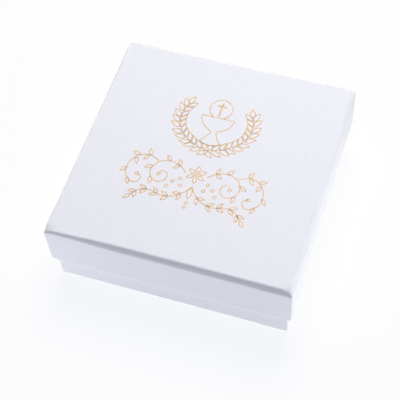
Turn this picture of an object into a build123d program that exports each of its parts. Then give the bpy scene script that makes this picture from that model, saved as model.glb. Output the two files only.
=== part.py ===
from build123d import *
from dataclasses import dataclass
import os

# A small set-up gift box for a pendant: greyboard trays wrapped in white paper.
# The lid telescopes over a deeper base and rests on its rim. A velvet pad lifts out of the base.
# Millimetres. Origin at the centre of the bottom face, Z up, front wall towards -Y.

# Overall size
lid_width = 85.0  # square plan, across the lid's corners
box_height = 30.3
base_show = 10.7  # band of the base left in view below the lid's rim

# Sheet stock
board = 0.9  # greyboard
wrap_paper = 0.15
stay_paper = 0.1
liner_paper = 0.15

# Folds and corners of the trays
lid_fold_radius = 1.5  # outside of the board, where the lid's walls fold down
base_fold_radius = 0.4  # the base is scored deeper, so it folds tighter
inner_fold_radius = 0.4
board_corner_radius = 0.35  # upright corners
corner_kerf = 0.2  # between the end of a side wall and the front or back wall

# Paper angles that hold the trays' corners together
stay_leg = 8.0
stay_setback = 1.0  # from the board's rim
settle = 3.0  # the wrap eases back from stay to board over this length

# Wrap turned in over the rims
lid_turn_in = 13.0
base_turn_in = 15.0
flap_angle = 80.0  # of the flaps' slanting ends
liner_margin = 0.5  # bare board round a liner, inside the folds

# Fits
lid_play = 0.2  # each side, between the lid's turned-in paper and the base
pad_play = 0.3  # each side, between the velvet pad and the base's turned-in paper

# Velvet pad
pad_height = 16.0
pad_edge_radius = 2.6
pad_corner_radius = 3.0
velvet = 0.6
velvet_turn_under = 9.0
pad_card = 1.0
chain_slit_length = 14.0
chain_slit_width = 0.8
chain_slit_depth = 7.0  # into the foam
chain_slit_inset = 19.0  # from the pad's sides to the slit's middle
chain_slit_angle = 45.0

# Reach of cutting tools past the faces they cut
spare = 0.5


@dataclass
class Tray:
    """One wrapped tray, floor down, with the wrap's underside at Z = 0."""

    board_side: float  # outside of the board, midway along a wall
    depth: float  # over the wrap, from underside to rim
    fold_radius: float
    turn_in: float

    @property
    def board_inside(self):
        return self.board_side - 2 * board

    @property
    def mouth(self):
        """Clear width between the turned-in flaps."""
        return self.board_inside - 2 * wrap_paper

    @property
    def floor(self):
        """Height of the board's inner face."""
        return wrap_paper + board

    @property
    def board_rim(self):
        return self.depth - wrap_paper

    @property
    def stay_foot(self):
        """Height at which the walls are straight outside and in, and the stays begin."""
        return wrap_paper + max(self.fold_radius, board + inner_fold_radius)


# Derived sizes
lid_depth = box_height - base_show
base_depth = box_height - wrap_paper - board - liner_paper
lid_board_side = lid_width - 2 * (stay_paper + wrap_paper)
lid_mouth = lid_board_side - 2 * board - 2 * wrap_paper
base_board_side = lid_mouth - 2 * (lid_play + stay_paper + wrap_paper)
lid_tray = Tray(lid_board_side, lid_depth, lid_fold_radius, lid_turn_in)
base_tray = Tray(base_board_side, base_depth, base_fold_radius, base_turn_in)
pad_side = base_tray.mouth - 2 * pad_play
pad_seat = base_tray.floor + liner_paper


def four_sides(shape):
    """The shape, made on the +Y side, repeated round the box."""
    return [Rot(0, 0, 90 * turn) * shape for turn in range(4)]


def plan(tray, offset):
    """Plan of a tray's walls, grown by offset from the board."""
    side = tray.board_side + 2 * offset
    outline = Rectangle(side, side)
    return fillet(outline.vertices(), board_corner_radius + offset)


def stayed_plan(tray, offset):
    """The same plan, standing out by the stays' thickness at the corners and easing back to the wall."""
    wall = tray.board_side / 2 + offset
    stay_end = tray.board_side / 2 - stay_leg
    corner = wall + stay_paper
    quarter = [
        Vector(wall, stay_end - settle),
        Vector(corner, stay_end),
        Vector(corner, corner),
        Vector(stay_end, corner),
        Vector(stay_end - settle, wall),
    ]
    points = [point.rotate(Axis.Z, 90 * turn) for turn in range(4) for point in quarter]
    outline = make_face(Polyline(*points, close=True))
    corners = outline.vertices().sort_by(lambda vertex: Vector(vertex).length)[-4:]
    return fillet(corners, board_corner_radius + offset)


def fold_section(x, wall, radius):
    """Section of what a fold's rounding takes off the square edge at (wall, 0), with the edge along X."""
    edges = Polyline(
        (wall, radius),
        (wall + spare, radius),
        (wall + spare, -spare),
        (wall - radius, -spare),
        (wall - radius, 0),
    ) + CenterArc((wall - radius, radius), radius, 270, 90)
    return Plane(origin=(x, 0, 0), x_dir=(0, 1, 0), z_dir=(1, 0, 0)) * make_face(edges)


def folded_block(tray, offset, bottom, top):
    """Solid envelope of a tray with its floor folds rounded and mitred at the corners."""
    wall = tray.board_side / 2 + offset
    end = wall + spare
    block = extrude(plan(tray, offset), top - bottom)
    waste = extrude(fold_section(-end, wall, tray.fold_radius + offset), 2 * end)
    for side in four_sides(waste):
        block -= side
    return Pos(0, 0, bottom) * block


def make_board(tray):
    """Greyboard blank, folded up: front and back walls run through, side walls butt against them."""
    hollow = extrude(Rectangle(tray.board_inside, tray.board_inside), tray.depth)
    hollow = fillet(hollow.faces().sort_by(Axis.Z)[0].edges(), inner_fold_radius)
    blank = folded_block(tray, 0, wrap_paper, tray.board_rim) - Pos(0, 0, tray.floor) * hollow
    kerf = Box(board + spare, corner_kerf, tray.depth, align=(Align.MIN, Align.MAX, Align.MIN))
    for x_side in (1, -1):
        for y_side in (1, -1):
            cut = Pos(tray.board_inside / 2 - spare / 2, tray.board_inside / 2, tray.stay_foot) * kerf
            if x_side < 0:
                cut = mirror(cut, Plane.YZ)
            if y_side < 0:
                cut = mirror(cut, Plane.XZ)
            blank -= cut
    return blank


def make_stays(tray):
    """Four paper angles glued round the upright corners, between board and wrap."""
    height = tray.board_rim - stay_setback - tray.stay_foot
    sleeve = stayed_plan(tray, 0) - plan(tray, 0)
    reach = stay_leg + stay_paper
    middle = tray.board_side / 2 - stay_leg + reach / 2
    corners = [Pos(x, y) * Rectangle(reach, reach) for x in (-middle, middle) for y in (-middle, middle)]
    return Pos(0, 0, tray.stay_foot) * Compound([extrude(sleeve & corner, height) for corner in corners])


def make_wrap(tray):
    """One sheet of paper under the floor, up the walls over the stays, and turned in over the rim."""
    swell = tray.stay_foot - wrap_paper
    skin = folded_block(tray, wrap_paper, 0, tray.depth)
    skin += Pos(0, 0, swell) * extrude(stayed_plan(tray, wrap_paper), tray.depth - swell)
    skin -= folded_block(tray, 0, wrap_paper, tray.board_rim)
    skin -= Pos(0, 0, tray.stay_foot) * extrude(stayed_plan(tray, 0), tray.board_rim - tray.stay_foot)
    skin -= Pos(0, 0, tray.board_rim) * extrude(Rectangle(tray.mouth, tray.mouth), wrap_paper)
    face = Plane(origin=(0, tray.mouth / 2, tray.depth), x_dir=(1, 0, 0), z_dir=(0, 1, 0))
    through = Trapezoid(tray.board_inside, tray.turn_in, flap_angle, align=(Align.CENTER, Align.MIN))
    butted = Trapezoid(tray.mouth, tray.turn_in, flap_angle, align=(Align.CENTER, Align.MIN))
    for turn, outline in enumerate((through, butted, through, butted)):
        skin += Rot(0, 0, 90 * turn) * extrude(face * outline, wrap_paper)
    return skin


def make_liner(tray):
    """Paper sheet pasted on the tray's floor, inside the folds."""
    side = tray.board_inside - 2 * (inner_fold_radius + liner_margin)
    return Pos(0, 0, tray.floor) * extrude(Rectangle(side, side), liner_paper)


def pad_form(inset):
    """Outer form of the velvet pad, drawn in by inset all round."""
    side = pad_side - 2 * inset
    form = extrude(Rectangle(side, side), pad_height - 2 * inset)
    form = fillet(form.edges().filter_by(Axis.Z), pad_corner_radius - inset)
    form = fillet(form.faces().sort_by(Axis.Z)[-1].edges(), pad_edge_radius - inset)
    return Pos(0, 0, inset) * form


def chain_slits():
    """Two slanting cuts near the back corners, which the chain is tucked into."""
    reach = pad_side / 2 - chain_slit_inset
    depth = chain_slit_depth + velvet + spare
    blade = Box(chain_slit_length, chain_slit_width, depth, align=(Align.CENTER, Align.CENTER, Align.MIN))
    foot = pad_height - velvet - chain_slit_depth
    return [
        Pos(reach, reach, foot) * Rot(0, 0, -chain_slit_angle) * blade,
        Pos(-reach, reach, foot) * Rot(0, 0, chain_slit_angle) * blade,
    ]


def make_pad():
    """Stiff card, foam block and the velvet drawn over both and glued under the card."""
    inner = pad_form(velvet)
    cover = pad_form(0) - inner
    window = pad_side - 2 * velvet_turn_under
    cover -= extrude(Rectangle(window, window), velvet)
    card_top = velvet + pad_card
    card_space = Box(pad_side, pad_side, card_top, align=(Align.CENTER, Align.CENTER, Align.MIN))
    card = inner & card_space
    foam = inner - card_space
    for slit in chain_slits():
        cover -= slit
        foam -= slit
    return card, foam, cover


def lid_place(shape):
    """A tray's piece turned floor up and set at the lid's height."""
    return Pos(0, 0, box_height) * Rot(180, 0, 0) * shape


pad_card_sheet, pad_foam_block, pad_velvet_cover = [Pos(0, 0, pad_seat) * piece for piece in make_pad()]

nodes = {
    "base_board": make_board(base_tray),
    "base_corner_stays": make_stays(base_tray),
    "base_wrap": make_wrap(base_tray),
    "base_liner": make_liner(base_tray),
    "lid_board": lid_place(make_board(lid_tray)),
    "lid_corner_stays": lid_place(make_stays(lid_tray)),
    "lid_wrap": lid_place(make_wrap(lid_tray)),
    "lid_liner": lid_place(make_liner(lid_tray)),
    "pad_card": pad_card_sheet,
    "pad_foam": pad_foam_block,
    "pad_velvet": pad_velvet_cover,
}

os.makedirs("parts", exist_ok=True)
for name, solid in nodes.items():
    export_step(solid, f"parts/{name}.step")
    print(f"{name}: {solid.volume:.1f} mm3")
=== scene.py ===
import math
import bpy
from dataclasses import dataclass, replace
from mathutils import Matrix, Vector, noise


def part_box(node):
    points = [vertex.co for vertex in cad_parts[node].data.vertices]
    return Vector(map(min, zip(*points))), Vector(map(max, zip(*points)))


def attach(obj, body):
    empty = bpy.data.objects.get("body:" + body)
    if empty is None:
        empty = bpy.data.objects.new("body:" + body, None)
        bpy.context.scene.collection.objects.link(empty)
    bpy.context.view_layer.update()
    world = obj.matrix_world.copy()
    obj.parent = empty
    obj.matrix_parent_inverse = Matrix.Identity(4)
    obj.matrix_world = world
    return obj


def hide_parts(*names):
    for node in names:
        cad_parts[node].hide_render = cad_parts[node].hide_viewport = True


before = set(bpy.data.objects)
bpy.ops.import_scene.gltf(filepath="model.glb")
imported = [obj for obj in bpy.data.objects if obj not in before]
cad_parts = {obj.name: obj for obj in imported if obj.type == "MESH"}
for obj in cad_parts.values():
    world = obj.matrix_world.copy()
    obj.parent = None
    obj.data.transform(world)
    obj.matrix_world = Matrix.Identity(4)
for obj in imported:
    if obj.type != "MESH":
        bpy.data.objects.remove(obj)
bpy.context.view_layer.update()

# A wrapped gift box with its lid on. Lengths are in millimetres until a mesh is made.
MM = 0.001

# Stock, as in the part
PAPER = 0.15
BOARD = 0.9
STAY = 0.1
WALL = BOARD + 2 * PAPER
STAY_LEG = 8.0
STAY_SETBACK = 1.0  # from the board's rim
SETTLE = 3.0  # the wrap eases back from stay to board over this length
LID_TURN_IN = 13.0
BASE_TURN_IN = 15.0
FLAP_ANGLE = math.radians(80)
VELVET = 0.6
PAD_TURN_UNDER = 9.0
SLIT_INSET = 19.0
SLIT_LENGTH = 14.0
SLIT_WIDTH = 0.5
SLIT_DEPTH = 7.0


def node_box(node):
    """Lowest and highest corners of a node, in millimetres."""
    return [Vector(corner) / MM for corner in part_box(node)]


lid_low, lid_high = node_box("lid_wrap")
base_low, base_high = node_box("base_wrap")
pad_low, pad_high = node_box("pad_velvet")
lid_width = lid_high.x - lid_low.x
top_centre = Vector((0, 0, lid_high.z))

# Camera: stand-off in lid widths from the centre of the lid's top
CAMERA_AZIMUTH = math.radians(22.57)
CAMERA_ELEVATION = math.radians(57.47)
CAMERA_ROLL = math.radians(-5.46)
CAMERA_DISTANCE = 4.2464
CAMERA_SHIFT_RIGHT = -0.0195
CAMERA_SHIFT_UP = -0.1713
FOCAL_PIXELS = 1059.9
IMAGE_PIXELS = 400
SENSOR_MM = 36


def make_camera():
    """Camera at the photograph's viewing angle."""
    azimuth, elevation, roll = CAMERA_AZIMUTH, CAMERA_ELEVATION, CAMERA_ROLL
    back = Vector((
        math.sin(azimuth) * math.cos(elevation),
        -math.cos(azimuth) * math.cos(elevation),
        math.sin(elevation),
    ))
    level_right = Vector((math.cos(azimuth), math.sin(azimuth), 0))
    level_up = back.cross(level_right)
    right = math.cos(roll) * level_right + math.sin(roll) * level_up
    up = math.cos(roll) * level_up - math.sin(roll) * level_right
    stand = back * CAMERA_DISTANCE + right * CAMERA_SHIFT_RIGHT + up * CAMERA_SHIFT_UP
    data = bpy.data.cameras.new("camera")
    data.sensor_width = SENSOR_MM
    data.lens = FOCAL_PIXELS / IMAGE_PIXELS * SENSOR_MM
    data.clip_start = 0.01
    camera = bpy.data.objects.new("camera", data)
    turn = Matrix((right, up, back)).transposed().to_4x4()
    camera.matrix_world = Matrix.Translation((top_centre + stand * lid_width) * MM) @ turn
    bpy.context.collection.objects.link(camera)
    bpy.context.scene.camera = camera


# Shapes

HALF_TURN = math.tan(math.radians(22.5))
SIN_45 = math.sin(math.radians(45))
TINY = 1e-6
MIN_RADIUS = 0.1  # of the inner sheets' roundings
FOLD_BLEND = 0.8  # softness of the mitre between two folds, as a share of their drop
FOLD_CLEAR = 0.3  # from the folds to the first row of the walls
FINE_STEP, COARSE_STEP = 0.75, 2.5  # between the columns of the trays' meshes
EDGE_BAND = 6.0  # the columns are fine within this distance of the folds
SHARP_ANGLE, SLIT_SHARP_ANGLE = math.radians(40), math.radians(50)


def ease(value, low, high):
    """Smooth step from 0 at low to 1 at high."""
    step = min(max((value - low) / (high - low), 0), 1)
    return step * step * (3 - 2 * step)


def ripple(x, y, z, size, seed):
    """Smooth unevenness from -1 to 1 with features of about the given size."""
    return noise.noise(Vector((x / size + seed, y / size - seed, z / size + 0.5 * seed)))


@dataclass
class Form:
    """Outer form of a square tray or pad: a floor, rounded folds round it and four walls.

    Depth runs from the floor's outer face towards the rim. A fold is a bevel with a rounding
    above and below it. One form serves all the sheets in it, at their insets.
    """

    half: float  # from the middle to a wall
    leg: float  # of the bevel along the floor
    upper: float  # radius between the floor and the bevel
    lower: float  # radius between the bevel and the wall
    corner: float  # radius of the upright corners
    tight: float  # size of the folds at the floor's corners, as a share of the full size
    reach: float  # length over which the folds grow to their full size
    droop: float  # how far the floor's corners give way
    droop_reach: float
    uneven: float  # height of the floor's and walls' unevenness
    grain: float  # size of it
    steep: float = 1  # depth of a fold for its width
    left: tuple = (1, 1)  # share of the folds' full size at the left wall, and its reach
    back: tuple = (1, 1)  # the same at the back wall
    crown: float = 0  # how far the floor's middle stands out
    stays: float = 0  # how far the walls stand out over the paper angles at the corners
    seed: float = 0

    @property
    def fold(self):
        """Width of a fold on the floor."""
        return self.leg + HALF_TURN * self.upper

    @property
    def fold_depth(self):
        """Depth at which the walls are straight."""
        return self.steep * (self.leg + HALF_TURN * self.lower)

    def swell(self, near):
        """How far a wall stands out over a stay, at a distance from the box's corner."""
        return self.stays * (1 - ease(near, STAY_LEG, STAY_LEG + SETTLE))

    def floor_depth(self, x, y, inset):
        """Depth of a sheet's face, inset from the outer form, over the plan point (x, y)."""
        in_x = max(self.half - abs(x), 0)
        in_y = max(self.half - abs(y), 0)
        share = self.fold_share(x, y)
        drop_x = self.fold_drop(in_x - inset, share, inset)
        drop_y = self.fold_drop(in_y - inset, share, inset)
        soft = FOLD_BLEND * min(drop_x, drop_y) + TINY
        blend = max(soft - abs(drop_x - drop_y), 0) / soft
        drop = max(drop_x, drop_y) + blend * blend * soft / 4
        droop = self.droop * (1 - ease(in_x, 0, self.droop_reach)) * (1 - ease(in_y, 0, self.droop_reach))
        crown = self.crown * ease(in_x, 0, self.half) * ease(in_y, 0, self.half)
        wave = self.uneven * (1 + ripple(x, y, 0, self.grain, self.seed))
        return inset + drop + droop - crown + wave

    def fold_share(self, x, y):
        """Size of the folds near a plan point, as a share of the full size."""
        corner = max(self.half - abs(x), self.half - abs(y))
        share = 1
        for distance, tight, reach in (
            (corner, self.tight, self.reach),
            (x + self.half, *self.left),
            (self.half - y, *self.back),
        ):
            share = min(share, tight + (1 - tight) * ease(distance, 0, reach))
        return share

    def fold_drop(self, inside, share, inset):
        """Drop of a fold at a distance inside the sheet's wall."""
        upper = max(share * self.upper - inset, MIN_RADIUS)
        lower = max(share * self.lower - inset, MIN_RADIUS)
        leg = max(share * self.leg - (1 - HALF_TURN) * inset, (1 - SIN_45) * (upper + lower))
        inside = max(inside, 0)
        start = leg + HALF_TURN * upper
        if inside >= start:
            return 0
        if inside > start - SIN_45 * upper:
            return self.steep * (upper - math.sqrt(upper ** 2 - (start - inside) ** 2))
        if inside < (1 - SIN_45) * lower:
            return self.steep * (leg + HALF_TURN * lower - math.sqrt(lower ** 2 - (lower - inside) ** 2))
        return self.steep * (leg - inside)


def round_fold(radius):
    """Leg and radii of a fold that is one arc."""
    return dict(leg=(1 - HALF_TURN) * radius, upper=radius, lower=radius)


def column_places(form, arc_steps, bevel_steps, fine_step, coarse_step):
    """Places of the mesh's columns from wall to wall, as shares of the flat floor and of the fold."""
    flat = form.half - form.fold
    places = []
    place = 0.0
    while place < flat - TINY:
        places.append((place / flat, 0))
        place += fine_step if place > flat - EDGE_BAND - coarse_step else coarse_step
    places.append((1, 0))
    turns = [math.sin(math.radians(45 * k / arc_steps)) for k in range(1, arc_steps + 1)]
    places += [(1, form.upper * turn / form.fold) for turn in turns]
    start = form.upper * SIN_45 / form.fold
    end = 1 - form.lower * (1 - SIN_45) / form.fold
    places += [(1, start + (end - start) * k / bevel_steps) for k in range(1, bevel_steps + 1)]
    turns = [math.sin(math.radians(45 + 45 * k / arc_steps)) for k in range(1, arc_steps + 1)]
    places += [(1, 1 - form.lower * (1 - turn) / form.fold) for turn in turns]
    return [(-a, -b) for a, b in reversed(places[1:])] + places


def round_corner(x, y, half, radius):
    """Moves a point of the square corner onto a rounded one."""
    over_x = (abs(x) - (half - radius)) / radius
    over_y = (abs(y) - (half - radius)) / radius
    if over_x <= 0 or over_y <= 0:
        return x, y
    new_x = half - radius + radius * over_x * math.sqrt(max(1 - over_y ** 2 / 2, 0))
    new_y = half - radius + radius * over_y * math.sqrt(max(1 - over_x ** 2 / 2, 0))
    return math.copysign(new_x, x), math.copysign(new_y, y)


SIDES = [((0, -1), (1, 0)), ((1, 0), (0, 1)), ((0, 1), (-1, 0)), ((-1, 0), (0, -1))]


def sheet_points(form, columns, inset, rings, stand_out):
    """Points of one face of a sheet: a grid over the floor, then rings down the walls and beyond.

    A ring is (distance in from the outer wall, depth, trim), with the trim cut off both
    ends of each side, so that a ring with one is four separate rows.
    """
    count = len(columns)
    flat = form.half - form.fold
    across = [a * flat + b * (form.fold - inset) for a, b in columns]
    outer = [a * flat + b * form.fold for a, b in columns]
    near = [form.half - abs(place) for place in outer]
    push = [math.copysign(b * b, b) for a, b in columns]
    points = []
    half = form.half - inset + form.stays
    for i, x in enumerate(across):
        for j, y in enumerate(across):
            depth = form.floor_depth(x, y, inset)
            spot = x + push[i] * form.swell(near[j]), y + push[j] * form.swell(near[i])
            points.append((*round_corner(*spot, half, max(form.corner - inset, MIN_RADIUS)), depth))
    for ring_inset, depth, trim in rings:
        half = form.half - ring_inset
        outside = max(1 - ring_inset / WALL, 0)
        radius = max(form.corner - ring_inset, MIN_RADIUS)
        for side, (out, along) in enumerate(SIDES):
            for k in range(count if trim else count - 1):
                place = outer[k] * (half - trim) / form.half
                bulge, lift = stand_out(side, outer[k], near[k], depth)
                wall = half + bulge + form.swell(near[k]) * outside
                if not trim:
                    place = -wall if k == 0 else place + push[k] * form.stays * outside
                x = out[0] * wall + along[0] * place
                y = out[1] * wall + along[1] * place
                points.append((*round_corner(x, y, wall, radius), depth - lift))
    return points


def sheet_faces(count, rings):
    """Faces that join the points of sheet_points."""
    faces = []
    for i in range(count - 1):
        for j in range(count - 1):
            faces.append((i * count + j, (i + 1) * count + j, (i + 1) * count + j + 1, i * count + j + 1))
    last = count - 1
    edge = [[k * count for k in range(count)]]
    edge.append([last * count + k for k in range(count)])
    edge.append([(last - k) * count + last for k in range(count)])
    edge.append([last - k for k in range(count)])
    start = count * count
    for _, _, trim in rings:
        if trim:
            rows = [[start + side * count + k for k in range(count)] for side in range(4)]
            start += 4 * count
        else:
            loop = [start + k for k in range(4 * last)]
            rows = [[loop[(side * last + k) % len(loop)] for k in range(count)] for side in range(4)]
            start += 4 * last
        for above, below in zip(edge, rows):
            for k in range(last):
                faces.append((above[k], below[k], below[k + 1], above[k + 1]))
        edge = rows
    return faces


def make_shell(name, form, columns, insets, ring_maker, stand_out, place):
    """Closed sheet between two insets of a form, as an object."""
    outer_rings, inner_rings = [ring_maker(inset) for inset in insets]
    outer = sheet_points(form, columns, insets[0], outer_rings, stand_out)
    inner = sheet_points(form, columns, insets[1], inner_rings, stand_out)
    faces = sheet_faces(len(columns), outer_rings)
    edges = {(a, b) for face in faces for a, b in zip(face, face[1:] + face[:1])}
    shift = len(outer)
    faces = faces + [tuple(shift + index for index in reversed(face)) for face in faces]
    faces += [(b, a, shift + a, shift + b) for a, b in edges if (b, a) not in edges]
    return make_object(name, [place(point) for point in outer + inner], faces)


def make_object(name, points, faces):
    """Mesh object from points in millimetres, with its faces turned outwards."""
    mesh = bpy.data.meshes.new(name)
    mesh.from_pydata([Vector(point) * MM for point in points], [], faces)
    turn_outwards(mesh)
    mesh.validate()
    mesh.polygons.foreach_set("use_smooth", [True] * len(mesh.polygons))
    mesh.set_sharp_from_angle(angle=SHARP_ANGLE)
    piece = bpy.data.objects.new(name, mesh)
    bpy.context.collection.objects.link(piece)
    return piece


def turn_outwards(mesh):
    """Flips a closed mesh whose faces all point inwards."""
    volume = 0
    for face in mesh.polygons:
        corners = [mesh.vertices[index].co for index in face.vertices]
        for k in range(1, len(corners) - 1):
            volume += corners[0].dot(corners[k].cross(corners[k + 1]))
    if volume < 0:
        mesh.flip_normals()


def band_faces(start, count, closed):
    """Faces of a band that has four points at each of its places."""
    faces = []
    for k in range(count if closed else count - 1):
        a, b = start + 4 * k, start + 4 * ((k + 1) % count)
        for m in range(4):
            n = (m + 1) % 4
            faces.append((a + m, a + n, b + n, b + m))
    if not closed:
        end = start + 4 * (count - 1)
        faces.append((start + 3, start + 2, start + 1, start))
        faces.append((end, end + 1, end + 2, end + 3))
    return faces


def floor_up(top):
    """Placing of a form whose floor is on top."""
    return lambda point: (point[0], point[1], top - point[2])


def floor_down(bottom):
    """Placing of a form whose floor is underneath."""
    return lambda point: (point[0], point[1], bottom + point[2])


FLAP_CLEAR = 0.02  # trimmed off the flaps' ends besides their slant
SIDE_STRIDE = 31  # sets the four sides' ripples apart
WALL_SEED = 7  # sets the walls' ripples apart from the floor's
WAVER_CORNER, WAVER_FOLD = 6.0, 4.0  # the waver grows over these lengths from the corners and the folds
RIM_BAND = 4.0  # height over which a rim gives way
RIM_STEPS = 4  # in each rounding of a wrap's rim
OUTER_EDGE, INNER_EDGE = (0.4, 0.95), (-0.3, 0.3)  # of a board's rim: how far it is drawn in, and its height


def wrap_rings(form, depth, turn_in, rim, rim_height):
    """Rings of a tray's wrap: walls, the rim's rounding, taller outside, and the flaps turned in."""

    def rings(inset):
        bend = rim - inset
        tall_bend = rim_height - inset
        low = form.fold_depth + FOLD_CLEAR
        steps = [0, 0.02, 0.06, 0.13, 0.25, 0.4, 0.55, 0.7, 0.82, 0.88, 0.93, 0.97, 1]
        rows = [(inset, low + (depth - rim_height - low) * step, 0) for step in steps]
        turn = [math.radians(90 * k / RIM_STEPS) for k in range(RIM_STEPS + 1)]
        rows += [
            (rim - bend * math.cos(a), depth - rim_height + tall_bend * math.sin(a), 0) for a in turn[1:]
        ]
        rows += [(WALL - rim + bend * math.sin(a), depth - rim + bend * math.cos(a), 0) for a in turn]
        for step in (0.08, 0.25, 0.45, 0.65, 0.85, 1):
            along = (turn_in - rim) * step
            rows.append((WALL - inset, depth - rim - along, along / math.tan(FLAP_ANGLE) + FLAP_CLEAR))
        return rows

    return rings


def board_rings(form, depth):
    """Rings of a tray's board: straight walls up to the rim, whose edges are softened."""

    def rings(inset):
        low = form.fold_depth + FOLD_CLEAR
        turn, soft = OUTER_EDGE if inset < WALL / 2 else INNER_EDGE
        end = depth - PAPER - soft
        rows = [(inset, low + (end - low) * step, 0) for step in (0, 0.1, 0.35, 0.65, 0.85, 0.95, 1)]
        rows += [(inset + turn * 0.3, end + soft * 0.7, 0), (inset + turn, end + soft, 0)]
        return rows

    return rings


def wall_play(form, depth, rim_lift, lift_reach):
    """How a wall wavers, and how its rim gives way at the corners."""

    def stand_out(side, place, near, ring_depth):
        seed, fold_end = form.seed + WALL_SEED, form.fold_depth
        waver = form.uneven * ripple(place, SIDE_STRIDE * side, ring_depth, form.grain, seed)
        waver *= ease(near, 0, WAVER_CORNER) * ease(ring_depth, fold_end, fold_end + WAVER_FOLD)
        lift = rim_lift * (1 - ease(near, 0, lift_reach)) * ease(ring_depth, depth - RIM_BAND, depth)
        return waver, lift

    return stand_out


# Trays

LID_RIM, LID_RIM_HEIGHT, BASE_RIM = 0.55, 1.1, 0.5  # rounding of the wraps over the rims
ANGLE_STEPS = 5  # round the fold of a paper angle
LINING_STEPS = 20  # from the lining's middle to its edge

lid_form = Form(
    half=lid_high.x - STAY, leg=0.9, upper=1.7, lower=0.6, steep=2.3, corner=0.5, tight=0.7, reach=5,
    left=(0.45, 28), back=(0.78, 12), droop=0.85, droop_reach=3.5, uneven=0.03, grain=16, stays=STAY,
    seed=3.1,
)
lid_depth = lid_high.z - lid_low.z
base_form = Form(
    half=base_high.x - STAY, **round_fold(0.55), corner=0.5, tight=0.9, reach=4,
    droop=0.08, droop_reach=3, uneven=0.02, grain=16, stays=STAY, seed=8.4,
)
base_depth = base_high.z - base_low.z


def make_trays():
    """The two wraps, and the lid's board, lining and angles, which follow the lid's soft folds."""
    steps = dict(fine_step=FINE_STEP, coarse_step=COARSE_STEP)
    lid_columns = column_places(lid_form, arc_steps=5, bevel_steps=5, **steps)
    base_columns = column_places(base_form, arc_steps=3, bevel_steps=0, **steps)
    lid_play = wall_play(lid_form, lid_depth, rim_lift=0.8, lift_reach=2.8)
    lid_wrap = make_shell(
        "lid_paper", lid_form, lid_columns, (0, PAPER),
        wrap_rings(lid_form, lid_depth, LID_TURN_IN, LID_RIM, LID_RIM_HEIGHT), lid_play,
        floor_up(lid_high.z),
    )
    lid_board = make_shell(
        "lid_greyboard", replace(lid_form, stays=0), lid_columns, (PAPER, PAPER + BOARD),
        board_rings(lid_form, lid_depth), lid_play, floor_up(lid_high.z),
    )
    base_wrap = make_shell(
        "base_paper", base_form, base_columns, (0, PAPER),
        wrap_rings(base_form, base_depth, BASE_TURN_IN, BASE_RIM, BASE_RIM),
        wall_play(base_form, base_depth, rim_lift=0.3, lift_reach=2.2), floor_down(base_low.z),
    )
    lid_lining = make_lining("lid_lining", replace(lid_form, stays=0), node_box("lid_liner")[1].x)
    lid_angles = make_angles("lid_paper_angles", lid_form, lid_depth)
    for piece, node, body, slot in (
        (lid_wrap, "lid_wrap", "lid", "wrap_paper"),
        (lid_board, "lid_board", "lid", "greyboard"),
        (lid_lining, "lid_liner", "lid", "liner_paper"),
        (lid_angles, "lid_corner_stays", "lid", "stay_paper"),
        (base_wrap, "base_wrap", "base", "wrap_paper"),
    ):
        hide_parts(node)
        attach(piece, body)
    return lid_wrap, lid_board, lid_lining, lid_angles, base_wrap


def make_angles(name, form, depth):
    """Four paper angles glued round a lid's upright corners, clear of its soft folds."""
    wall = form.half + STAY - PAPER
    centre = wall - form.corner + PAPER
    high = lid_high.z - form.fold_depth - FOLD_CLEAR
    low = lid_high.z - depth + PAPER + STAY_SETBACK
    outer, inner = [], []
    for line, inset in ((outer, 0), (inner, STAY)):
        radius = wall - inset - centre
        line.append(Vector((wall - STAY_LEG, wall - inset)))
        for k in range(ANGLE_STEPS + 1):
            a = math.radians(90 * k / ANGLE_STEPS)
            line.append(Vector((centre + radius * math.sin(a), centre + radius * math.cos(a))))
        line.append(Vector((wall - inset, wall - STAY_LEG)))
    points, faces = [], []
    for quarter in range(4):
        turn = Matrix.Rotation(math.radians(90 * quarter), 2)
        faces += band_faces(len(points), len(outer), False)
        for a, b in zip(outer, inner):
            for spot, z in ((a, low), (a, high), (b, high), (b, low)):
                points.append((*(turn @ spot), z))
    return make_object(name, points, faces)


def make_lining(name, form, reach):
    """Paper pasted inside a lid, which follows its board's soft corners."""
    steps = range(-LINING_STEPS, LINING_STEPS + 1)
    places = [reach * math.sin(math.radians(90 * k / LINING_STEPS)) for k in steps]
    count = len(places)
    points = []
    for inset in (WALL - PAPER, WALL):
        for x in places:
            for y in places:
                points.append((x, y, lid_high.z - form.floor_depth(x, y, inset)))
    faces = []
    for i in range(count - 1):
        for j in range(count - 1):
            quad = (i * count + j, (i + 1) * count + j, (i + 1) * count + j + 1, i * count + j + 1)
            faces.append(quad)
            faces.append(tuple(count * count + index for index in reversed(quad)))
    edges = {(a, b) for face in faces[::2] for a, b in zip(face, face[1:] + face[:1])}
    shift = count * count
    faces += [(b, a, shift + a, shift + b) for a, b in edges if (b, a) not in edges]
    return make_object(name, points, faces)


# Foil ornament on the lid

FOIL_LINE = 0.42  # width of the lines
FOIL_CROSS_LINE = 0.72
FOIL_RISE, FOIL_SINK = 0.02, -0.04  # of the band's faces, from the paper
LINE_STEP = 0.5
LEAF_STEPS = 10
WREATH_MIDDLE = -0.55
DISC_CENTRE, DISC_RADIUS = (-0.6, 20.95), 4.05
SCROLL_MIDDLE = -0.5
ROSETTE_CENTRE = (SCROLL_MIDDLE, -7.6)
ROSETTE_EYE = 0.95  # radius on which its petals stand
BERRY = 0.55  # radius


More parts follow.
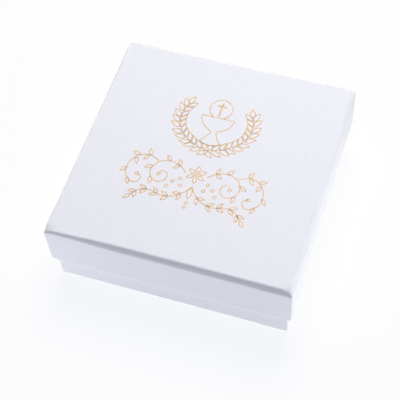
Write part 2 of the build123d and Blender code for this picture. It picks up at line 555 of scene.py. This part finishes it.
def smooth_line(points):
    """Curve through the points, sampled about every step."""
    points = [Vector(point) for point in points]
    ends = [2 * points[0] - points[1]] + points + [2 * points[-1] - points[-2]]
    line = []
    for before, start, end, after in zip(ends, ends[1:], ends[2:], ends[3:]):
        count = max(int((end - start).length / LINE_STEP), 2)
        for k in range(count):
            t = k / count
            line.append(0.5 * (
                2 * start + (end - before) * t + (2 * before - 5 * start + 4 * end - after) * t ** 2
                + (3 * start - before - 3 * end + after) * t ** 3
            ))
    return line + [points[-1]]


def leaf(base, heading, length, width):
    """Outline of a pointed leaf."""
    along = Vector((math.cos(heading), math.sin(heading)))
    across = Vector((-along.y, along.x))
    outline = []
    for side in (1, -1):
        steps = range(LEAF_STEPS) if side > 0 else range(LEAF_STEPS, 0, -1)
        for k in steps:
            t = k / LEAF_STEPS
            spread = side * width / 2 * math.sin(math.pi * t ** 0.85) ** 0.9
            outline.append(Vector(base) + along * length * t + across * spread)
    return outline


def ring_line(centre, radius, start=0, sweep=360, count=36):
    """Circle, or an arc with its last point."""
    steps = range(count if sweep == 360 else count + 1)
    angles = [math.radians(start + sweep * k / count) for k in steps]
    return [Vector((centre[0] + radius * math.cos(a), centre[1] + radius * math.sin(a))) for a in angles]


def leafy_branch(stem, stations, length, width, spreads):
    """Pairs of leaves along a stem and one at its end, as strokes: (points, closed)."""
    line = smooth_line(stem)
    strokes = []
    lengths = [0]
    for a, b in zip(line, line[1:]):
        lengths.append(lengths[-1] + (b - a).length)
    for station in stations:
        target = station * lengths[-1]
        k = min(next(i for i, value in enumerate(lengths) if value >= target - 1e-9), len(line) - 2)
        tangent = line[k + 1] - line[k]
        heading = math.atan2(tangent.y, tangent.x)
        for spread in spreads:
            strokes.append((leaf(line[k], heading + spread, length, width), True))
    tangent = line[-1] - line[-3]
    strokes.append((leaf(line[-1], math.atan2(tangent.y, tangent.x), length, width), True))
    return strokes


def mirrored(strokes, middle):
    """The strokes turned over left to right about a middle line."""
    return [([Vector((2 * middle - p.x, p.y)) for p in points], closed) for points, closed in strokes]


def wreath_strokes():
    """Two leafy branches that cross at the bottom, round a cup with a plain disc over it."""
    stem = [
        (0.6, 2.6), (-1.6, 3.0), (-5.0, 4.1), (-8.9, 6.4), (-11.9, 9.6), (-13.2, 13.2), (-13.3, 16.8),
        (-12.3, 20.1),
    ]
    stations = [0.02 + 0.093 * k for k in range(11)]
    spreads = math.radians(42), math.radians(-37)
    branch = leafy_branch(stem, stations, length=3.95, width=1.8, spreads=spreads)
    strokes = branch + mirrored(branch, WREATH_MIDDLE)
    rim = [(-6.45, 17.1), (5.45, 17.2)]
    left_side = [
        (-6.45, 17.1), (-6.1, 15.5), (-5.3, 13.8), (-3.6, 12.3), (-1.9, 11.2), (-1.35, 10.4), (-2.2, 8.9),
        (-4.1, 6.1),
    ]
    right_side = [
        (5.45, 17.2), (5.0, 15.5), (4.1, 13.6), (2.5, 12.2), (0.9, 11.3), (0.7, 10.5), (1.6, 8.6),
        (3.3, 5.9),
    ]
    foot = [(-4.1, 6.1), (-2.0, 5.4), (-0.4, 5.2), (1.4, 5.3), (3.3, 5.9)]
    strokes += [(smooth_line(points), False) for points in (rim, left_side, right_side, foot)]
    strokes.append((ring_line(DISC_CENTRE, DISC_RADIUS, start=-63, sweep=306), False))
    return strokes


def cross_strokes():
    """Plain cross on the disc."""
    upright, arms = [(-0.6, 17.5), (-0.6, 23.7)], [(-2.3, 22.2), (1.2, 22.2)]
    return [(smooth_line(upright), False), (smooth_line(arms), False)]


def scroll_strokes():
    """Scrolling stems with leaves and berries round a small rosette."""
    middle = SCROLL_MIDDLE
    strokes = []
    for k in range(6):
        heading = math.radians(90 + 60 * k)
        x, y = ROSETTE_CENTRE
        base = (x + ROSETTE_EYE * math.cos(heading), y + ROSETTE_EYE * math.sin(heading))
        strokes.append((leaf(base, heading, length=2.5, width=1.35), True))
    strokes.append(berry(ROSETTE_CENTRE, 0.5))
    upper = [
        (3.2, -7.8), (6.0, -5.6), (9.6, -4.6), (13.2, -5.8), (15.2, -9.0), (14.4, -12.4), (11.6, -13.8),
        (9.3, -12.4), (9.2, -10.0), (11.0, -9.0), (12.0, -10.2),
    ]
    outer = [
        (13.6, -5.6), (17.0, -4.2), (20.6, -5.0), (23.0, -8.0), (23.4, -12.0), (21.6, -15.4), (18.8, -16.0),
        (17.4, -13.9), (18.9, -12.3),
    ]
    lower = [
        (middle, -12.6), (1.6, -15.6), (4.8, -17.9), (9.0, -18.6), (13.0, -17.6), (16.4, -18.6),
        (18.6, -21.0),
    ]
    half = [(smooth_line(stem), False) for stem in (upper, outer, lower)]
    spreads = math.radians(38), math.radians(-38)
    half += leafy_branch(lower, [0.2, 0.38, 0.56, 0.74, 0.9], length=2.7, width=1.1, spreads=spreads)
    for base, heading, length in (
        ((6.0, -5.6), 75, 2.6), ((6.0, -5.6), -35, 2.4), ((9.6, -4.6), 48, 2.6), ((14.9, -8.2), -25, 2.8),
        ((14.4, -12.4), -100, 2.8), ((17.0, -4.2), 68, 2.6), ((20.6, -5.0), 18, 2.8),
        ((23.4, -11.0), -50, 2.6), ((21.9, -14.9), -112, 2.6), ((17.6, -4.3), -60, 2.4),
        ((21.6, -6.2), -110, 2.6),
    ):
        half.append((leaf(base, math.radians(heading), length, width=1.15), True))
    for centre in ((12.1, -10.6), (19.2, -12.5), (4.4, -10.6), (6.6, -12.2), (8.0, -14.6), (3.6, -13.2)):
        half.append(berry(centre, BERRY))
    strokes += half + mirrored(half, middle)
    strokes.append((leaf((middle, -13.2), math.radians(-90), length=4.4, width=1.7), True))
    strokes.append(berry((middle, -19.2), BERRY))
    strokes.append(berry((middle, -21.0), 0.45))
    return strokes


def berry(centre, radius):
    """Small closed ring."""
    return ring_line(centre, radius, count=14), True


def make_foil():
    """Gold lines stamped on the lid's top, as thin flat bands on the paper."""
    points, faces = [], []
    for line, closed in wreath_strokes() + scroll_strokes():
        add_band(points, faces, line, closed, FOIL_LINE)
    for line, closed in cross_strokes():
        add_band(points, faces, line, closed, FOIL_CROSS_LINE)
    foil = make_object("lid_foil_lines", points, faces)
    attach(foil, "lid")
    return foil


def add_band(points, faces, line, closed, width):
    """Flat band along a line, following the lid's top."""
    count = len(line)
    start = len(points)
    for k, place in enumerate(line):
        before = line[k - 1] if k or closed else line[k]
        after = line[(k + 1) % count] if k < count - 1 or closed else line[k]
        into, out = place - before, after - place
        into = into.normalized() if into.length > 1e-9 else out.normalized()
        out = out.normalized() if out.length > 1e-9 else into
        ahead = into + out
        ahead = ahead.normalized() if ahead.length > 0.3 else out
        across = Vector((-ahead.y, ahead.x)) * width / 2 / max(ahead.dot(out), 0.6)
        left, right = place + across, place - across
        for spot, rise in ((left, FOIL_RISE), (right, FOIL_RISE), (right, FOIL_SINK), (left, FOIL_SINK)):
            points.append((spot.x, spot.y, lid_high.z - lid_form.floor_depth(spot.x, spot.y, 0) + rise))
    faces += band_faces(start, count, closed)


# Velvet pad

PAD_BEND, BEND_STEPS = 1.2, 5  # rounding where the velvet turns under
PAD_FOLD_CLEAR = 0.5  # from the fold to the first row of the sides
PAD_TRIM = 0.15  # off the ends of the parts turned under
PAD_PULL, PAD_PULL_REACH = 0.28, 24  # how far the sides are drawn in, and over which length from a corner
PAD_WAVER, PAD_WAVER_SIZE, PAD_WAVER_SEED = 0.05, 12, 2.7
PAD_STEP = 1.2  # between the columns of its mesh
UNDERSIDE = 0.7  # the sides' play ends at this height
DIP, DIP_REACH, DIP_LAYER = 0.45, 1.5, 2  # of the velvet towards the slits, within a layer below the top
SLIT_STEPS = 12
SLIT_TAPER = 2.4
BLADE_OVER = 1  # height of the cutting blade over the pad


def make_pad():
    """Velvet drawn over the foam and the card, with two slanting slits for the chain."""
    form = Form(
        half=pad_high.x, **round_fold(2.6), corner=3.0, tight=0.85, reach=12,
        droop=0.15, droop_reach=12, uneven=0.08, grain=14, crown=0.25, seed=5.2,
    )
    height = pad_high.z - pad_low.z

    def rings(inset):
        bend = PAD_BEND
        radius = bend - inset
        low = form.fold + PAD_FOLD_CLEAR
        rows = [(inset, low + (height - bend - low) * step, 0) for step in (0, 0.15, 0.35, 0.6, 0.85, 1)]
        for k in range(1, BEND_STEPS + 1):
            a = math.radians(90 * k / BEND_STEPS)
            rows.append((bend - radius * math.cos(a), height - bend + radius * math.sin(a), 0))
        for step in (0.02, 0.3, 0.65, 1):
            rows.append((bend + (PAD_TURN_UNDER - bend) * step, height - inset, PAD_TRIM))
        return rows

    def stand_out(side, place, near, depth):
        middle = ease(near, 0, PAD_PULL_REACH)
        pull = -PAD_PULL * middle * math.sin(math.pi * min(max(depth / height, 0), 1))
        waver = PAD_WAVER * ripple(place, SIDE_STRIDE * side, depth, PAD_WAVER_SIZE, PAD_WAVER_SEED)
        return (pull + waver if depth < height - UNDERSIDE else 0), 0

    columns = column_places(form, arc_steps=4, bevel_steps=0, fine_step=PAD_STEP, coarse_step=PAD_STEP)
    pad = make_shell("pad_cover", form, columns, (0, VELVET), rings, stand_out, floor_up(pad_high.z))
    sink_slits(pad)
    cut_slits(pad)
    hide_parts("pad_velvet")
    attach(pad, "pad")
    return pad


def slit_places():
    """Middle of each slit and its direction along the pad, in millimetres."""
    reach = pad_high.x - SLIT_INSET
    return [(Vector((reach, reach)), math.radians(-45)), (Vector((-reach, reach)), math.radians(45))]


def sink_slits(pad):
    """Lets the velvet dip towards the slits' lips."""
    for vertex in pad.data.vertices:
        place = vertex.co / MM
        if place.z < pad_high.z - DIP_LAYER:
            continue
        for middle, angle in slit_places():
            along = Vector((math.cos(angle), math.sin(angle)))
            offset = place.xy - middle
            run = max(abs(offset.dot(along)) - SLIT_LENGTH / 2, 0)
            off = abs(offset.dot(Vector((-along.y, along.x))))
            vertex.co.z -= DIP * math.exp(-(off / DIP_REACH) ** 2 - (run / DIP_REACH) ** 2) * MM


def cut_slits(pad):
    """Cuts the two slits, pointed at both ends."""
    for number, (middle, angle) in enumerate(slit_places()):
        outline = []
        for side in (1, -1):
            for k in range(SLIT_STEPS):
                t = -1 + 2 * k / SLIT_STEPS
                spread = SLIT_WIDTH / 2 * (1 - abs(t) ** SLIT_TAPER)
                outline.append(Vector((side * t * SLIT_LENGTH / 2, -side * spread)))
        turn = Matrix.Rotation(angle, 2)
        outline = [turn @ point + middle for point in outline]
        ends = pad_high.z - SLIT_DEPTH, pad_high.z + BLADE_OVER
        points = [(p.x, p.y, z) for z in ends for p in outline]
        count = len(outline)
        faces = [tuple(reversed(range(count))), tuple(range(count, 2 * count))]
        faces += [(k, (k + 1) % count, count + (k + 1) % count, count + k) for k in range(count)]
        blade = make_object(f"slit_blade_{number}", points, faces)
        cut = pad.modifiers.new("slit", "BOOLEAN")
        cut.operation = "DIFFERENCE"
        cut.object = blade
        cut.solver = "EXACT"
        bpy.context.view_layer.objects.active = pad
        bpy.ops.object.modifier_apply(modifier=cut.name)
        bpy.data.objects.remove(blade)
    pad.data.polygons.foreach_set("use_smooth", [True] * len(pad.data.polygons))
    pad.data.set_sharp_from_angle(angle=SLIT_SHARP_ANGLE)


# Materials

class Nodes:
    """Small helper round a material's node tree, with places in millimetres."""

    def __init__(self, name, roughness, specular):
        self.material = bpy.data.materials.new(name)
        self.material.use_nodes = True
        self.tree = self.material.node_tree
        self.shader = self.tree.nodes["Principled BSDF"]
        self.shader.inputs["Roughness"].default_value = roughness
        self.shader.inputs["Specular IOR Level"].default_value = specular
        self.place = self.tree.nodes.new("ShaderNodeTexCoord").outputs["Object"]

    def link(self, source, target):
        self.tree.links.new(source, target)

    def stretch(self, scale, degrees):
        """Places scaled per axis, by sizes in millimetres, and turned about Z."""
        node = self.tree.nodes.new("ShaderNodeMapping")
        node.vector_type = "TEXTURE"
        node.inputs["Scale"].default_value = [value * MM for value in scale]
        node.inputs["Rotation"].default_value = (0, 0, math.radians(degrees))
        self.link(self.place, node.inputs["Vector"])
        return node.outputs["Vector"]

    def noise(self, size, detail, rough=0.5):
        """Noise with features of the given size in millimetres."""
        return self.noise_at(self.place, 1 / (size * MM), detail, rough)

    def noise_at(self, place, scale, detail, rough=0.5):
        """Noise over the given places."""
        node = self.tree.nodes.new("ShaderNodeTexNoise")
        node.inputs["Scale"].default_value = scale
        node.inputs["Detail"].default_value = detail
        node.inputs["Roughness"].default_value = rough
        self.link(place, node.inputs["Vector"])
        return node.outputs["Fac"]

    def fibres(self, grain, degrees, detail=4, rough=0.6):
        """Noise drawn out into fibres, with a size for each axis."""
        return self.noise_at(self.stretch(grain, degrees), 1, detail, rough)

    def blend(self, first, share, second, other_share):
        """Sum of shares of two values."""
        shares = self.math("MULTIPLY", first, share), self.math("MULTIPLY", second, other_share)
        return self.math("ADD", *shares)

    def cells(self, size):
        """Distance to the nearest of points spread a given size apart."""
        node = self.tree.nodes.new("ShaderNodeTexVoronoi")
        node.inputs["Scale"].default_value = 1 / (size * MM)
        self.link(self.place, node.inputs["Vector"])
        return node.outputs["Distance"]

    def math(self, operation, first, second):
        """Calculation on two values, each a socket or a number."""
        node = self.tree.nodes.new("ShaderNodeMath")
        node.operation = operation
        for socket, value in zip(node.inputs, (first, second)):
            if isinstance(value, (int, float)):
                socket.default_value = value
            else:
                self.link(value, socket)
        return node.outputs["Value"]

    def ramp(self, value, *stops):
        """Colours spread along a value, as (position, colour)."""
        node = self.tree.nodes.new("ShaderNodeValToRGB")
        ramp = node.color_ramp
        while len(ramp.elements) < len(stops):
            ramp.elements.new(0.5)
        for element, (position, colour) in zip(ramp.elements, stops):
            element.position = position
            element.color = (*colour, 1)
        self.link(value, node.inputs["Fac"])
        return node.outputs["Color"]

    def colour(self, source):
        self.link(source, self.shader.inputs["Base Color"])

    def bump(self, height, distance, strength=0.5):
        """Relief, as high as the distance in millimetres."""
        node = self.tree.nodes.new("ShaderNodeBump")
        node.inputs["Distance"].default_value = distance * MM
        node.inputs["Strength"].default_value = strength
        self.link(height, node.inputs["Height"])
        self.link(node.outputs["Normal"], self.shader.inputs["Normal"])


def tint(colour, factor):
    """The colour, darker or lighter."""
    return tuple(value * factor for value in colour)


def wrap_paper():
    """Satin white paper with a fine felt texture."""
    nodes = Nodes("wrap_paper_white", 0.5, 0.25)
    white = (0.86, 0.86, 0.925)
    along = nodes.fibres((0.45, 1.6, 0.9), 25, detail=3, rough=0.5)
    across = nodes.fibres((1.6, 0.45, 0.9), 25, detail=3, rough=0.5)
    felt = nodes.math("ADD", along, across)
    mottle = nodes.noise(2.6, 3, rough=0.6)
    tone = nodes.blend(felt, 0.3, mottle, 0.4)
    nodes.colour(nodes.ramp(tone, (0.3, tint(white, 0.975)), (0.7, tint(white, 1.02))))
    nodes.bump(felt, 0.03)
    return nodes.material


def greyboard():
    """Raw grey millboard with darker and lighter fibres."""
    nodes = Nodes("greyboard_raw", 0.9, 0.2)
    base = (0.35, 0.32, 0.28)
    fibres = nodes.fibres((0.25, 1.4, 0.4), 15)
    specks = nodes.noise(0.5, 2)
    tone = nodes.blend(fibres, 0.6, specks, 0.4)
    nodes.colour(nodes.ramp(tone, (0.32, tint(base, 0.7)), (0.5, base), (0.68, tint(base, 1.3))))
    nodes.bump(tone, 0.06, 0.6)
    return nodes.material


def fibre_sheet(name, roughness, specular, base, grain, degrees, tones, relief):
    """Plain paper or card with fibres between two tones of its colour."""
    nodes = Nodes(name, roughness, specular)
    fibres = nodes.fibres(grain, degrees)
    dark, light = tones
    nodes.colour(nodes.ramp(fibres, (0.35, tint(base, dark)), (0.65, tint(base, light))))
    nodes.bump(fibres, relief)
    return nodes.material


def kraft_paper():
    """Brown gummed paper of the corner stays."""
    return fibre_sheet(
        "kraft_paper_brown", 0.7, 0.3, base=(0.38, 0.22, 0.11), grain=(0.2, 0.2, 1.5), degrees=0,
        tones=(0.8, 1.2), relief=0.02,
    )


def liner_paper():
    """Plain matt white paper with faint fibres."""
    return fibre_sheet(
        "liner_paper_white", 0.75, 0.25, base=(0.84, 0.84, 0.83), grain=(0.3, 1.1, 0.6), degrees=-20,
        tones=(0.96, 1.03), relief=0.015,
    )


def pad_card():
    """White-lined card under the pad."""
    return fibre_sheet(
        "pad_card_pale", 0.8, 0.25, base=(0.68, 0.65, 0.59), grain=(0.3, 1.3, 0.5), degrees=8,
        tones=(0.9, 1.08), relief=0.03,
    )


def foam():
    """Open-celled foam, with painted shade in the hollows of its cells."""
    nodes = Nodes("foam_open_cell", 0.9, 0.1)
    base = (0.82, 0.8, 0.72)
    cells = nodes.cells(0.5)
    # Darker towards each cell's middle, where the bump below sinks: painted shade in the pits.
    nodes.colour(nodes.ramp(cells, (0.1, tint(base, 0.55)), (0.6, base)))
    nodes.bump(cells, 0.2, 0.8)
    return nodes.material


def velvet():
    """Short flocked pile, with large paler patches of painted sheen where the pile lies the other way."""
    nodes = Nodes("velvet_flock_ivory", 0.95, 0.1)
    base = (0.83, 0.81, 0.775)
    pile = nodes.noise(0.18, 2)
    painted_sheen_patches = nodes.noise(13, 2)
    # Large paler patches over the fine pile: painted sheen, spread at random.
    tone = nodes.blend(pile, 0.45, painted_sheen_patches, 0.55)
    nodes.colour(nodes.ramp(tone, (0.35, tint(base, 0.93)), (0.65, tint(base, 1.05))))
    nodes.bump(pile, 0.12, 0.7)
    nodes.shader.inputs["Sheen Weight"].default_value = 0.5
    nodes.shader.inputs["Sheen Roughness"].default_value = 0.4
    nodes.shader.inputs["Sheen Tint"].default_value = (1, 0.99, 0.96, 1)
    return nodes.material


def foil():
    """Gold stamping foil, slightly worn into the paper's texture."""
    nodes = Nodes("foil_gold_stamped", 0.5, 0.2)
    base = (0.5, 0.355, 0.23)
    worn = nodes.noise(0.5, 3, rough=0.6)
    nodes.colour(nodes.ramp(worn, (0.35, tint(base, 0.85)), (0.65, tint(base, 1.12))))
    nodes.shader.inputs["Metallic"].default_value = 0.25
    nodes.bump(worn, 0.01)
    return nodes.material


def give(piece, material):
    """Puts one material on all of a piece."""
    slots = piece.material_slots
    if slots:
        for slot in slots:
            slot.material = material
    else:
        piece.data.materials.append(material)


# Studio, in metres

FLOOR_HALF = 3.0
TABLE_GLOW = 1.15
WORLD_AMBIENT = 0.06
LAMP_AIM = Vector((0, 0, 0.02))
LAMPS = (  # name, azimuth, elevation, distance, width, height, levels
    ("key", 0, 60, 1.2, 0.72, 0.72, (1.006, 1.012, 1.015)),
    ("back_left", 315, 35, 2.0, 1.2, 1.2, (0.158, 0.146, 0.08)),
    ("right", 90, 5, 2.0, 2.6, 0.3, (0.4, 0.405, 0.355)),
)


def make_floor():
    """White light table, which glows in front of the box, and looks white with the shadow kept."""
    mesh = bpy.data.meshes.new("floor")
    half = FLOOR_HALF
    corners = [(-half, -half, 0), (half, -half, 0), (half, half, 0), (-half, half, 0)]
    mesh.from_pydata(corners, [], [(0, 1, 2, 3)])
    floor = bpy.data.objects.new("floor", mesh)
    material = bpy.data.materials.new("floor_white")
    material.use_nodes = True
    tree = material.node_tree
    tree.nodes.remove(tree.nodes["Principled BSDF"])
    table, glow = glowing_surface(tree, (0.3, 0.3, 0.3), (1, 1.03, 1.05))
    tree.links.new(table_glow(tree), glow.inputs["Strength"])
    seen, _ = glowing_surface(tree, (0.12, 0.105, 0.055), (0.87, 0.885, 0.936))
    tree.links.new(seen_as(tree, table, seen), tree.nodes["Material Output"].inputs["Surface"])
    mesh.materials.append(material)
    bpy.context.collection.objects.link(floor)


def glowing_surface(tree, lit_colour, glow_colour):
    """Shader of a surface that is lit and also glows, and the node of its glow."""
    lit = tree.nodes.new("ShaderNodeBsdfDiffuse")
    lit.inputs["Color"].default_value = (*lit_colour, 1)
    glow = tree.nodes.new("ShaderNodeEmission")
    glow.inputs["Color"].default_value = (*glow_colour, 1)
    both = tree.nodes.new("ShaderNodeAddShader")
    tree.links.new(lit.outputs[0], both.inputs[0])
    tree.links.new(glow.outputs[0], both.inputs[1])
    return both.outputs[0], glow


def table_glow(tree):
    """Strength of the light from below.

    It fades out towards the back, and is stronger on the left and close in front of the box.
    """
    place = tree.nodes.new("ShaderNodeTexCoord")
    split = tree.nodes.new("ShaderNodeSeparateXYZ")
    tree.links.new(place.outputs["Object"], split.inputs[0])
    fade = smooth_range(tree, split.outputs["Y"], (0.02, 0.07), (TABLE_GLOW, 0))
    left = smooth_range(tree, split.outputs["X"], (-0.07, 0), (1.23, 0.98))
    near = smooth_range(tree, split.outputs["Y"], (-0.085, -0.05), (0.98, 1.08))
    return calculate(tree, "MULTIPLY", fade, calculate(tree, "MULTIPLY", left, near))


def smooth_range(tree, value, places, results):
    """Value that goes smoothly from one result to the other between two places."""
    node = tree.nodes.new("ShaderNodeMapRange")
    node.interpolation_type = "SMOOTHSTEP"
    for socket, setting in zip(("From Min", "From Max", "To Min", "To Max"), (*places, *results)):
        node.inputs[socket].default_value = setting
    tree.links.new(value, node.inputs["Value"])
    return node.outputs["Result"]


def calculate(tree, operation, first, second):
    """Calculation on two values."""
    node = tree.nodes.new("ShaderNodeMath")
    node.operation = operation
    tree.links.new(first, node.inputs[0])
    tree.links.new(second, node.inputs[1])
    return node.outputs[0]


def seen_rays(tree):
    """One for rays that look at the background, straight, in a reflection or through a piece."""
    path = tree.nodes.new("ShaderNodeLightPath").outputs
    both = calculate(tree, "MAXIMUM", path["Is Camera Ray"], path["Is Glossy Ray"])
    return calculate(tree, "MAXIMUM", both, path["Is Transmission Ray"])


def seen_as(tree, light, look):
    """Shader that gives one shader's light, and shows another to the rays that look at it."""
    mix = tree.nodes.new("ShaderNodeMixShader")
    tree.links.new(seen_rays(tree), mix.inputs["Fac"])
    tree.links.new(light, mix.inputs[1])
    tree.links.new(look, mix.inputs[2])
    return mix.outputs[0]


def make_world():
    """Dim even light from all round, blue, seen as white."""
    world = bpy.data.worlds.new("world")
    world.use_nodes = True
    tree = world.node_tree
    dim = tree.nodes["Background"]
    dim.inputs["Color"].default_value = (0.17, 0.25, 1, 1)
    dim.inputs["Strength"].default_value = WORLD_AMBIENT
    white = tree.nodes.new("ShaderNodeBackground")
    white.inputs["Color"].default_value = (1, 1, 1, 1)
    mixed = seen_as(tree, dim.outputs[0], white.outputs[0])
    tree.links.new(mixed, tree.nodes["World Output"].inputs["Surface"])
    bpy.context.scene.world = world


def make_lamp(name, azimuth, elevation, distance, width, height, levels):
    """Soft lamp facing the box, azimuth from the back towards the right.

    The levels are the red, green and blue that a white surface square to the lamp shows by its
    light alone.
    """
    brightest = max(levels)
    a, e = math.radians(azimuth), math.radians(elevation)
    toward = Vector((math.sin(a) * math.cos(e), math.cos(a) * math.cos(e), math.sin(e)))
    data = bpy.data.lights.new(name, "AREA")
    data.shape = "RECTANGLE"
    data.size = width
    data.size_y = height
    data.color = [level / brightest for level in levels]
    data.energy = brightest * math.pi ** 2 * distance ** 2
    lamp = bpy.data.objects.new(name, data)
    aim = (-toward).to_track_quat("-Z", "Y").to_matrix().to_4x4()
    lamp.matrix_world = Matrix.Translation(toward * distance + LAMP_AIM) @ aim
    bpy.context.collection.objects.link(lamp)


# Scene

bpy.context.scene.view_settings.view_transform = "Standard"
make_camera()
lid_wrap, lid_board, lid_lining, lid_angles, base_wrap = make_trays()
foil_lines = make_foil()
pad = make_pad()

paper, board, liner, kraft = wrap_paper(), greyboard(), liner_paper(), kraft_paper()
for piece, material in (
    (lid_wrap, paper),
    (base_wrap, paper),
    (lid_board, board),
    (lid_lining, liner),
    (lid_angles, kraft),
    (foil_lines, foil()),
    (pad, velvet()),
):
    give(piece, material)
for node, material in (
    ("base_board", board),
    ("base_corner_stays", kraft),
    ("base_liner", liner),
    ("pad_card", pad_card()),
    ("pad_foam", foam()),
):
    give(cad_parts[node], material)

make_floor()
make_world()
for lamp in LAMPS:
    make_lamp(*lamp)
